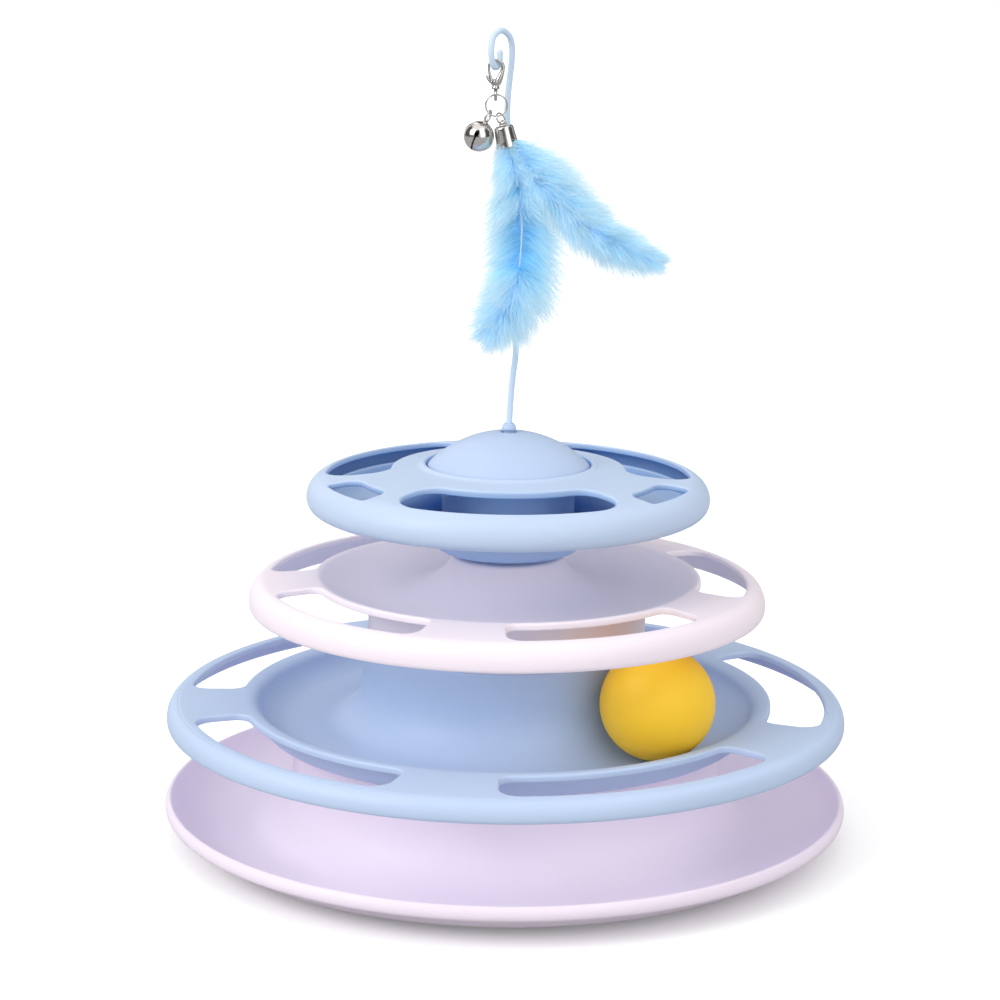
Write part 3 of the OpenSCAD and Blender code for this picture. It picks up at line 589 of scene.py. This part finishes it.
# ---------------------------------------------------------------- wand
foot_prof = [(1.11, 144.4), (2.4, 144.2), (2.7, 144.5), (3.2, 146.3), (3.0, 146.6), (2.1, 146.6), (1.9, 146.8), (1.9, 150.0), (2.0, 150.15),
    (2.5, 150.15), (2.7, 150.35), (2.68, 150.8), (2.45, 151.5), (2.25, 151.7), (2.15, 152.1), (1.85, 152.5), (1.5, 152.6), (1.13, 152.6), (1.11, 150)]
put(subdiv(turned("wand_plug", foot_prof, 40), 1), M_BLUE, "wand", "blue_plastic", "wand_foot")
route = [[0,0,145.4], [0,0,148], [0,0,152], [0.3,0,158], [0.7,0,165], [1.3,0,171], [2,0,177], [2.4,0,186], [2.6,0,196], [2.6,0,208],
    [2.2,0,222], [0.6,0,238], [-0.8,0,250], [-1.8,0,260], [-1.8,0,268], [-1.2,0,275], [-0.6,0,281], [-0.5,-0.5,286], [-1.4,-2.2,290],
    [-4.2,-5.4,292.2], [-6.9,-8.2,290.2], [-7.7,-9.4,286], [-7.5,-9.2,282.6], [-6.8,-8.2,280.1], [-6,-6.8,279.6], [-5.3,-5.4,280.2],
    [-4.7,-4.5,282.4], [-4.6,-4.3,284.4]]
wire_pts = even(catmull(route, 12), 260)
put(tube("wand_wire_coated", wire_pts, 1.1, 20), M_WIRE, "wand", "wire_coating", "wand_wire")

# ---------------------------------------------------------------- ball
baz = math.radians(46)
BT = Matrix.Translation((73.5 * math.sin(baz), -73.5 * math.cos(baz), 63.3))
ang = np.linspace(-math.pi / 2, math.pi / 2, 73)
ball_prof = [(0, -20.2)] + [((20.2 - 0.05 * math.exp(-(t / 0.012) ** 2)) * math.cos(t), (20.2 - 0.05 * math.exp(-(t / 0.012) ** 2)) * math.sin(t)) for t in ang[1:-1]] + [(0, 20.2)]
put(turned("track_ball", ball_prof, 144, False, BT), M_BALL, "ball", "ball_plastic", "ball_upper_half", "ball_lower_half")

# ---------------------------------------------------------------- charms on the wire's hook
PY = -6.8
CX, CZ = -6.0, 279.5


def circ(cx, cz, r, a0, a1, n, y=PY):
    t = np.radians(np.linspace(a0, a1, n))
    return np.column_stack([cx + r * np.cos(t), np.full(n, y), cz + r * np.sin(t)])


# Lobster clasp: one bent bar that thickens to its foot, with a turned neck
bar = [(-2.38, -0.35), (-2.42, 0.5), (-1.95, 1.6), (-0.95, 2.3), (0.3, 2.42), (1.5, 2.0), (2.3, 0.95), (2.35, -0.5), (1.95, -2.0), (1.4, -3.5), (0.85, -4.8), (0.25, -5.7), (-0.4, -5.75), (-1.2, -5.0)]
bar = even(catmull([(CX + x, PY, CZ + z) for x, z in bar], 8), 140)
q = np.linspace(0, 1, 140)
body = tube("bar", bar, np.interp(q, [0, 0.12, 0.4, 0.55, 0.7, 0.82, 0.92, 1], [0.42, 0.5, 0.6, 0.74, 1.05, 1.25, 1.1, 0.85]), 20, flat=((0, 1, 0), 0.95))
neck = turned("neck", [(0.7, 4.2), (0.72, 0.2), (0.85, 0.02), (1.15, 0.0), (1.35, 0.2), (1.38, 0.6), (1.2, 0.95), (1.02, 1.2), (1.0, 1.7), (1.25, 2.2), (1.3, 2.8), (1.0, 3.4), (0.74, 3.5)][1:-1],
              32, True, Matrix.Translation((CX, PY, CZ - 7.5)))
put(joined("clasp_bar", [body, neck]), M_RING, "clasp", "nickel", "clasp_body")
lever = even(catmull([(CX - 1.7, PY, CZ - 4.35), (CX - 1.95, PY, CZ - 3.2), (CX - 2.25, PY, CZ - 1.9), (CX - 2.4, PY, CZ - 0.9), (CX - 2.4, PY, CZ - 0.45)], 8), 40)
q = np.linspace(0, 1, 40)
lev = tube("lev", lever, np.interp(q, [0, 0.15, 0.5, 1], [0.74, 0.62, 0.44, 0.4]), 18, flat=((0, 1, 0), 0.8))
tab = tube("tab", even(catmull([(CX - 1.9, PY, CZ - 4.9), (CX - 2.75, PY, CZ - 3.9), (CX - 3.15, PY, CZ - 2.9)], 6), 20), np.interp(np.linspace(0, 1, 20), [0, 0.5, 1], [0.5, 0.46, 0.3]), 16, flat=((0, 1, 0), 0.85))
put(joined("clasp_gate_lever", [lev, tab]), M_RING, "clasp_gate", "nickel", "clasp_lever")
EZ = 269.95
eye_pts = np.array([(CX, PY + 1.5 * math.cos(t), EZ + 1.5 * math.sin(t)) for t in np.linspace(0, 2 * math.pi, 48, endpoint=False)])
eye = tube("eye_loop", eye_pts, 0.55, 18, True)
shank = turned("eye_shank", [(0, 5.45), (0.8, 5.4), (0.93, 5.2), (0.9, 5.0), (0.6, 4.95), (0.58, 3.9), (0.58, 2.3), (0.62, 1.7), (0.8, 1.3), (0, 1.25)], 28, False, Matrix.Translation((CX, PY, EZ)))
put(joined("swivel_eye_piece", [eye, shank]), M_RING, "eye", "nickel", "swivel_eye")

# Split ring: a wire wound nearly twice round
RC = (-5.7, PY, 266.4)
th = np.radians(np.linspace(-62, -62 + 684, 330))
lay = np.clip((np.degrees(th) + 62 - 322) / 40, 0, 1)
lay = -0.16 + 0.32 * (3 * lay**2 - 2 * lay**3)
coil = np.column_stack([RC[0] + 3.75 * np.cos(th), RC[1] + lay, RC[2] + 3.75 * np.sin(th)])
put(tube("split_ring_coil", coil, 0.27, 14), M_RING, "ring", "nickel", "split_ring")

# Jump ring between the split ring and the ferrule
LM = Matrix.Translation((-4.2, PY, 261.85)) @ Matrix.Rotation(math.radians(-30), 4, "Y") @ Matrix.Rotation(math.radians(55), 4, "Z")
ring = np.array([tuple(LM @ Vector((2.05 * math.cos(t), 0, 2.05 * math.sin(t)))) for t in np.linspace(0, 2 * math.pi, 56, endpoint=False)])
put(tube("jump_ring", ring, 0.29, 14, True), M_RING, "teaser", "nickel", "link_ring")

# Bell: two pressed shells with a rolled seam, a slit with round ends, and a wire loop
BM = Matrix.Translation((-11.7, PY, 255.6)) @ Matrix.Rotation(math.radians(24), 4, "Y")
pole = Vector((-0.42, -0.80, -0.43)).normalized()
along = Vector((0, -0.861, 0.508))
along = (along - pole * along.dot(pole)).normalized()
SM = Matrix.Translation(BM.translation) @ Matrix((along, (-pole).cross(along), -pole)).transposed().to_4x4()
R = 5.3
t1 = np.radians(np.linspace(89.5, 3.5, 30))
up_prof = [(R * math.cos(t), R * math.sin(t)) for t in t1] + [(R + 0.05, 0.22), (R + 0.12, 0.14), (R + 0.13, 0.08), (R + 0.08, 0.03), (4.85, 0.03)] + [(4.8 * math.cos(t), 4.8 * math.sin(t)) for t in t1[::-1]]
bell_top = turned("bell_top", up_prof, 96, True, SM)
lp = []
for t in np.linspace(0, 2 * math.pi, 64, endpoint=False):
    lp.append(tuple(BM @ (Matrix.Rotation(math.radians(65), 4, "Z") @ Vector((1.62 * math.cos(t), 0, 7.55 + 2.15 * math.sin(t))))))
loop = tube("bell_loop", np.array(lp), 0.42, 16, True)
foot = turned("bell_loop_foot", [(0, 5.75), (0.7, 5.7), (1.0, 5.5), (1.25, 5.2), (1.3, 5.0), (0, 5.0)], 32, False, BM)
put(joined("bell_top_shell", [bell_top, loop, foot]), M_NICKEL, "bell", "nickel", "bell_upper_shell")
t2 = np.radians(np.linspace(-4, -89.5, 40))
low_prof = [(R + 0.08, -0.02), (R + 0.14, -0.08), (R + 0.14, -0.26), (R + 0.07, -0.34)] + [(R * math.cos(t), R * math.sin(t)) for t in t2] + [(4.8 * math.cos(t), 4.8 * math.sin(t)) for t in t2[::-1]] + [(4.82, -0.02)]
bell_low = turned("bell_bottom_shell", low_prof, 128, True, SM)


def cutter(name, half_w, half_l):
    """A stadium-shaped punch with round bulbs at its ends."""
    pts = []
    rb = 0.85
    k = math.asin(half_w / rb)
    for sgn in (1, -1):
        for t in np.linspace(-(math.pi - k), math.pi - k, 22):
            pts.append((sgn * (half_l + rb * math.cos(t)), sgn * rb * math.sin(t)))
    n = len(pts)
    v = [(x, y, -8) for x, y in pts] + [(x, y, -1.4) for x, y in pts]
    f = [tuple(range(n))[::-1], tuple(range(n, 2 * n))] + [(i, (i + 1) % n, n + (i + 1) % n, n + i) for i in range(n)]
    o = clean(mesh_obj(name, [tuple(SM @ Vector(p)) for p in v], f, False))
    return o


punch = cutter("punch", 0.34, 3.7)
bo = bell_low.modifiers.new("slit", "BOOLEAN")
bo.operation, bo.object, bo.solver = "DIFFERENCE", punch, "EXACT"
dg = bpy.context.evaluated_depsgraph_get()
cut = bpy.data.meshes.new_from_object(bell_low.evaluated_get(dg))
bell_low.modifiers.clear()
bell_low.data = cut
bpy.data.objects.remove(punch)
clean(bell_low)
bell_low.data.polygons.foreach_set("use_smooth", [True] * len(bell_low.data.polygons))
bell_low.data.set_sharp_from_angle(angle=0.7)
put(bell_low, M_NICKEL, "bell", "nickel", "bell_lower_shell")

# Ferrule: a drawn cap with a rounded top edge, a rolled mouth and a wire eye
FM = Matrix.Translation((-3.2, PY, 259.3)) @ Matrix.Rotation(math.radians(-12.5), 4, "Y")
fer = turned("cap", [(0, 0.12), (1.6, 0.1), (2.6, 0.03), (3.05, -0.12), (3.3, -0.4), (3.4, -0.85), (3.46, -1.6), (3.6, -3.2), (3.76, -5.2), (3.88, -6.7), (3.98, -6.95), (4.03, -7.2),
                     (3.95, -7.42), (3.75, -7.45), (3.6, -7.25), (3.5, -6.6), (3.3, -3.5), (3.05, -1.2), (2.8, -0.8), (2.2, -0.62), (0, -0.6)], 96, False, FM)
fe = np.array([tuple(FM @ Vector((1.1 * math.cos(t), 0, 0.75 + 1.1 * math.sin(t)))) for t in np.linspace(0, 2 * math.pi, 40, endpoint=False)])
put(joined("ferrule_cap", [fer, tube("cap_eye", fe, 0.33, 14, True)]), M_NICKEL, "teaser", "nickel", "feather_ferrule")

# ---------------------------------------------------------------- plumes
def fast_mesh(name, V, F4, F3, col):
    m = bpy.data.meshes.new(name)
    nl = 4 * len(F4) + 3 * len(F3)
    m.vertices.add(len(V))
    m.vertices.foreach_set("co", (V * MM).astype(np.float32).ravel())
    m.loops.add(nl)
    m.loops.foreach_set("vertex_index", np.concatenate([F4.ravel(), F3.ravel()]).astype(np.int32))
    m.polygons.add(len(F4) + len(F3))
    start = np.concatenate([np.arange(len(F4)) * 4, 4 * len(F4) + np.arange(len(F3)) * 3])
    m.polygons.foreach_set("loop_start", start.astype(np.int32))
    m.polygons.foreach_set("use_smooth", np.ones(len(start), bool))
    m.update(calc_edges=True)
    at = m.color_attributes.new("barb", "FLOAT_COLOR", "POINT")
    at.data.foreach_set("color", col.astype(np.float32).ravel())
    o = bpy.data.objects.new(name, m)
    scene.collection.objects.link(o)
    return o


def barbs(P, w0, tone, name, body, per_piece=14000):
    """Each row of P is one barb: a ribbon with its own twist, which tapers to a point."""
    n, k, _ = P.shape
    t = np.gradient(P, axis=1)
    t /= np.linalg.norm(t, axis=2)[..., None] + 1e-9
    ref = rng.normal(size=(n, 1, 3))
    u = np.cross(t, ref)
    u /= np.linalg.norm(u, axis=2)[..., None] + 1e-9
    f = np.linspace(0, 1, k)
    half = w0[:, None] * (1 - 0.8 * f[None, :-1] ** 1.5)
    pair = np.stack([P[:, :-1] - half[..., None] * u[:, :-1], P[:, :-1] + half[..., None] * u[:, :-1]], 2)
    nv = 2 * (k - 1) + 1
    V = np.concatenate([pair.reshape(n, -1, 3), P[:, -1:, :]], 1)
    one4 = np.array([(2 * i, 2 * i + 1, 2 * i + 3, 2 * i + 2) for i in range(k - 2)])
    one3 = np.array([(2 * (k - 2), 2 * (k - 2) + 1, nv - 1)])
    along = np.concatenate([np.repeat(f[:-1], 2), [1.0]])
    out = []
    for p, s0 in enumerate(range(0, n, per_piece)):
        e = min(n, s0 + per_piece)
        c = e - s0
        off = (np.arange(c) * nv)[:, None, None]
        col = np.ones((c, nv, 4))
        col[:, :, 0] = along[None, :]
        col[:, :, 1] = tone[s0:e, None]
        o = fast_mesh("%s_%d" % (name, p + 1), V[s0:e].reshape(-1, 3), (one4[None] + off).reshape(-1, 4), (one3[None] + off).reshape(-1, 3), col.reshape(-1, 4))
        out.append(o)
    return out


def plume(route, side_a, side_b, face, guides, per, sag, bias=0.6, bare=(2.0, 2.0), root=0.3, leave=78, tip=42, close=0.22, tuft=0.4, stray=0.16, K=6):
    """Barbs along a quill. side_a is how far they reach to the left of a quill that hangs, side_b to its right and face
    towards the front and back. They leave it at an angle, bend towards the tip, hang a little and gather in loose tufts."""
    C = even(catmull(route, 14), 240)
    T = np.gradient(C, axis=0)
    T /= np.linalg.norm(T, axis=1)[:, None]
    F = np.array([0, -1.0, 0]) - T * (T @ np.array([0, -1.0, 0]))[:, None]
    F /= np.linalg.norm(F, axis=1)[:, None]
    S = np.cross(T, F)
    length = np.linalg.norm(np.diff(C, axis=0), axis=1).sum()

    def at(A, s):
        s = np.clip(s, 0, 1) * (len(C) - 1)
        i = np.minimum(s.astype(int), len(C) - 2)
        g = (s - i)[:, None]
        return A[i] * (1 - g) + A[i + 1] * g

    def grow(s, phi, scale, wave, amp):
        n = len(s)
        c, t, f_, s_ = at(C, s), at(T, s), at(F, s), at(S, s)
        u = np.cos(phi)[:, None] * s_ + np.sin(phi)[:, None] * f_
        k = np.abs(np.cos(phi)) ** 1.3
        q = np.linspace(0, 1, len(side_a))
        reach = np.where(np.cos(phi) > 0, np.interp(s, q, side_a), np.interp(s, q, side_b)) * k + np.interp(s, np.linspace(0, 1, len(face)), face) * (1 - k)
        L = reach * scale
        shut = np.clip((s - (1 - close)) / close, 0, 1) ** 1.2
        a0 = np.radians(leave * (1 - shut) + 26 * shut) + 0.22 * rng.normal(size=n)
        a1 = np.radians(tip * (1 - shut) + 8 * shut) + 0.24 * rng.normal(size=n)
        p = c + u * (root * (1 - 0.8 * shut) * rng.uniform(0.3, 1.3, n))[:, None]
        out = [p]
        side = np.cross(t, u)
        for i in range(K - 1):
            g = (i + 0.5) / (K - 1)
            a = a0 * (1 - g) + a1 * g
            d = np.cos(a)[:, None] * t + np.sin(a)[:, None] * u
            d = d + side * (amp * np.sin(wave + 4.0 * g))[:, None]
            d[:, 2] -= sag * g
            d /= np.linalg.norm(d, axis=1)[:, None]
            p = p + d * (L / (K - 1))[:, None]
            out.append(p)
        return np.stack(out, 1)

    s = np.sort(rng.uniform(0.0, 1.0, guides))
    side = rng.uniform(size=guides) < bias
    phi = np.where(side, np.where(rng.uniform(size=guides) < 0.5, 0, math.pi) + rng.normal(0, 0.55, guides), rng.uniform(-math.pi, math.pi, guides))
    keep = ~((s > bare[0]) & (s < bare[1]) & (np.sin(phi) > 0.3) & (np.abs(np.cos(phi)) < 0.94)) | (rng.uniform(size=guides) < 0.06)
    s, phi = s[keep], phi[keep]
    ng = len(s)
    gw, ga, gs = rng.uniform(0, 6.28, ng), rng.uniform(0.0, 0.3, ng), rng.uniform(0.85, 1.12, ng)
    G = grow(s, phi, gs, gw, ga)
    idx = np.repeat(np.arange(ng), per)
    n = len(idx)
    s2 = np.clip(s[idx] + rng.normal(0, 1.6 / length, n), 0, 1.0)
    phi2 = phi[idx] + rng.normal(0, 0.42, n)
    rate = rng.uniform(0.42, 1.0, n)
    rate = np.where(rng.uniform(size=n) < stray, rng.uniform(0.95, 1.42, n), rate)
    B = grow(s2, phi2, gs[idx] * rate, gw[idx] + rng.normal(0, 0.6, n), ga[idx] + rng.normal(0, 0.14, n))
    f = np.linspace(0, 1, K)
    pull = (tuft * rng.uniform(0.2, 1.2, n))[:, None, None] * (f**1.1)[None, :, None]
    gi = np.clip(f[None] * rate[:, None] * (K - 1), 0, K - 1.001)
    i0 = gi.astype(int)
    fr = (gi - i0)[..., None]
    B = B * (1 - pull) + (G[idx[:, None], i0] * (1 - fr) + G[idx[:, None], i0 + 1] * fr) * pull
    B += rng.normal(0, 0.22, B.shape) * f[None, :, None]
    tone = np.clip(0.5 + 0.2 * rng.normal(size=ng)[idx] + 0.14 * rng.normal(size=n), 0, 1)
    seen = ~((s2 > bare[0]) & (s2 < bare[1]) & (np.sin(phi2) > 0.1) & (np.abs(np.cos(phi2)) < 0.93)) | (rng.uniform(size=n) < 0.03)
    return B[seen], tone[seen]


long_route = [(-1.4, -7.2, 254.5), (-1.2, -8.2, 251.4), (0.2, -10.2, 246.5), (2.2, -12.2, 240.5), (3.3, -13.4, 232), (3.6, -13.8, 222), (3.0, -13.6, 212), (1.2, -13.2, 203),
              (-1.8, -12.8, 196), (-4.8, -12.4, 191), (-7.2, -12.2, 188)]
long_left = [5.0, 10.5, 14.0, 15.5, 16.0, 16.5, 15.5, 14.0, 12.5, 12.0, 11.0]
long_right = [3.0, 8.0, 13.0, 15.0, 16.0, 18.5, 20.5, 20.5, 18.5, 15.5, 11.0]
long_face = [2.2, 5.0, 8.0, 9.5, 10.0, 9.5, 9.0, 7.5]
side_route = [(-0.6, -7.6, 253.6), (1.2, -9.2, 250.6), (5.2, -12.2, 246), (10.5, -14.6, 240), (20.5, -16.2, 230.6), (32.5, -15.8, 222), (43, -14.6, 216.8), (50.0, -13.8, 214.2)]
side_down = [2.5, 6.0, 10.0, 12.0, 12.5, 13.0, 12.0, 8.0]
side_up = [13.0, 18.0, 17.5, 14.5, 11.5, 10.5, 10.0, 7.5]
side_face = [2.5, 5.0, 8.0, 9.5, 9.0, 8.0, 6.5, 4.5]
LB, LT = plume(long_route, long_left, long_right, long_face, guides=760, per=48, sag=0.10, bare=(0.36, 0.64), close=0.10, tuft=0.5, stray=0.26)
SB, ST = plume(side_route, side_down, side_up, side_face, guides=640, per=44, sag=0.10, leave=70, tip=32, close=0.22, tuft=0.5, stray=0.26)
for i, o in enumerate(barbs(LB, rng.uniform(0.05, 0.09, len(LB)), LT, "plume_long_barbs", "teaser")):
    put(o, M_PLUME, "teaser", "feather", *(["plume_long"]))
for i, o in enumerate(barbs(SB, rng.uniform(0.05, 0.09, len(SB)), ST, "plume_side_barbs", "teaser")):
    put(o, M_PLUME, "teaser", "feather", *(["plume_side"]))
for nm, route, r0, nodes in (("plume_long_quill", long_route, 0.5, ["plume_long"]), ("plume_side_quill", side_route, 0.36, ["plume_side"])):
    qp = even(catmull(route, 10), 90)
    qo = tube(nm, qp, np.interp(np.linspace(0, 1, 90), [0, 0.5, 0.97, 1], [r0, r0 * 0.7, 0.1, 0.05]), 10)
    put(qo, M_QUILL, "teaser", "feather", *nodes)

# ---------------------------------------------------------------- CAD nodes that stay
for n, mat in {"spindle": M_STEEL, "thrust_washer": M_NYLON, "cover_screws": M_STEEL, "retaining_washer": M_STEEL, "spindle_screw": M_STEEL,
               "bell_pellet": M_STEEL, "clasp_pin": M_NICKEL}.items():
    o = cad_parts[n]
    o.data.materials.clear()
    o.data.materials.append(mat)

# ---------------------------------------------------------------- floor and light
m, nt, b = new_mat("studio_floor")
lpf = nt.nodes.new("ShaderNodeLightPath")
fm = node(nt, "ShaderNodeMix", data_type="RGBA")
fm.inputs[6].default_value = (0.45, 0.45, 0.46, 1)
fm.inputs[7].default_value = (1.0, 1.0, 1.0, 1)
nt.links.new(lpf.outputs["Is Camera Ray"], fm.inputs["Factor"])
nt.links.new(fm.outputs[2], b.inputs["Base Color"])
nt.links.new(fm.outputs[2], b.inputs["Emission Color"])
glow = node(nt, "ShaderNodeMath", operation="MULTIPLY")
glow.inputs[1].default_value = 0.14
nt.links.new(lpf.outputs["Is Camera Ray"], glow.inputs[0])
nt.links.new(glow.outputs[0], b.inputs["Emission Strength"])
b.inputs["Roughness"].default_value = 0.9
b.inputs["Specular IOR Level"].default_value = 0.0
floor = mesh_obj("studio_floor", np.array([(-9000, -9000, 0), (9000, -9000, 0), (9000, 9000, 0), (-9000, 9000, 0)]), [(0, 1, 2, 3)], False)
floor.data.materials.append(m)

# White studio: even light for the plastics, and softboxes in a darker room for what shows in the metal
w = bpy.data.worlds.new("studio")
scene.world = w
w.use_nodes = True
nt = w.node_tree
L = nt.links
nt.nodes.clear()
wo = nt.nodes.new("ShaderNodeOutputWorld")
even_bg = node(nt, "ShaderNodeBackground", Strength=1.0)
even_bg.inputs["Color"].default_value = (1.0, 1.0, 1.0, 1)
cam_bg = node(nt, "ShaderNodeBackground", Strength=1.0)
cam_bg.inputs["Color"].default_value = (1.0, 1.0, 1.0, 1)
gloss_bg = node(nt, "ShaderNodeBackground", Strength=1.0)
co = nt.nodes.new("ShaderNodeTexCoord")
# More of the even light comes from the sides than from above, so that it reaches in under the tiers
up = node(nt, "ShaderNodeSeparateXYZ")
L.new(co.outputs["Generated"], up.inputs[0])
lift = node(nt, "ShaderNodeMapRange")
lift.inputs["From Min"].default_value, lift.inputs["From Max"].default_value = 0.0, 1.0
lift.inputs["To Min"].default_value, lift.inputs["To Max"].default_value = 1.2, 0.72
L.new(up.outputs["Z"], lift.inputs["Value"])
L.new(lift.outputs["Result"], even_bg.inputs["Strength"])


def dot_with(v):
    n = node(nt, "ShaderNodeVectorMath", operation="DOT_PRODUCT")
    L.new(co.outputs["Generated"], n.inputs[0])
    n.inputs[1].default_value = tuple(v)
    return n.outputs["Value"]


def calc(op, a, b):
    n = node(nt, "ShaderNodeMath", operation=op)
    for i, x in enumerate((a, b)):
        if isinstance(x, (int, float)):
            n.inputs[i].default_value = x
        else:
            L.new(x, n.inputs[i])
    return n.outputs[0]


def softbox(az, el, half_w, half_h, power, edge=0.08):
    """One rectangular light of the studio, as polished metal sees it. az is from the front towards the right."""
    az, el = math.radians(az), math.radians(el)
    F = Vector((math.sin(az) * math.cos(el), -math.cos(az) * math.cos(el), math.sin(el)))
    R_ = Vector((math.cos(az), math.sin(az), 0))
    U = F.cross(R_)
    f = calc("MAXIMUM", dot_with(F), 0.001)
    out = None
    for v, half in ((R_, half_w), (U, half_h)):
        n = node(nt, "ShaderNodeMath", operation="ABSOLUTE")
        L.new(calc("DIVIDE", dot_with(v), f), n.inputs[0])
        mr = node(nt, "ShaderNodeMapRange")
        mr.inputs["From Min"].default_value, mr.inputs["From Max"].default_value = half - edge, half + edge
        mr.inputs["To Min"].default_value, mr.inputs["To Max"].default_value = 1.0, 0.0
        L.new(n.outputs[0], mr.inputs["Value"])
        out = mr.outputs["Result"] if out is None else calc("MULTIPLY", out, mr.outputs["Result"])
    return calc("MULTIPLY", out, power)


acc = calc("ADD", softbox(33, 16, 0.33, 1.0, 1.5), 0.10)
for box in ((-58, 34, 0.34, 0.36, 2.0), (0, 86, 0.8, 0.6, 0.8), (-150, 12, 0.25, 1.2, 0.7), (118, 20, 0.2, 1.0, 0.5)):
    acc = calc("ADD", acc, softbox(*box))
L.new(acc, gloss_bg.inputs["Strength"])
gloss_bg.inputs["Color"].default_value = (1.0, 0.975, 0.955, 1)
lp_ = nt.nodes.new("ShaderNodeLightPath")
m1 = nt.nodes.new("ShaderNodeMixShader")
m2 = nt.nodes.new("ShaderNodeMixShader")
L.new(lp_.outputs["Is Glossy Ray"], m1.inputs[0])
L.new(even_bg.outputs[0], m1.inputs[1])
L.new(gloss_bg.outputs[0], m1.inputs[2])
L.new(lp_.outputs["Is Camera Ray"], m2.inputs[0])
L.new(m1.outputs[0], m2.inputs[1])
L.new(cam_bg.outputs[0], m2.inputs[2])
L.new(m2.outputs[0], wo.inputs["Surface"])


def sun(name, direction, strength, angle, color=(1, 1, 1)):
    d = bpy.data.lights.new(name, "SUN")
    d.energy, d.angle, d.color = strength, math.radians(angle), color
    o = bpy.data.objects.new(name, d)
    scene.collection.objects.link(o)
    o.rotation_mode = "QUATERNION"
    o.rotation_quaternion = (-Vector(direction)).to_track_quat("-Z", "Y")
    return o


sun("key", (-0.8, -0.45, 0.6), 1.0, 34)
sun("top", (0.0, -0.15, 1.0), 0.3, 70)
sun("fill", (0.35, -1.0, 0.4), 0.3, 50)
scene.view_settings.view_transform = "Standard"
scene.cycles.max_bounces = 24
scene.cycles.diffuse_bounces = 10
scene.cycles.transmission_bounces = 16
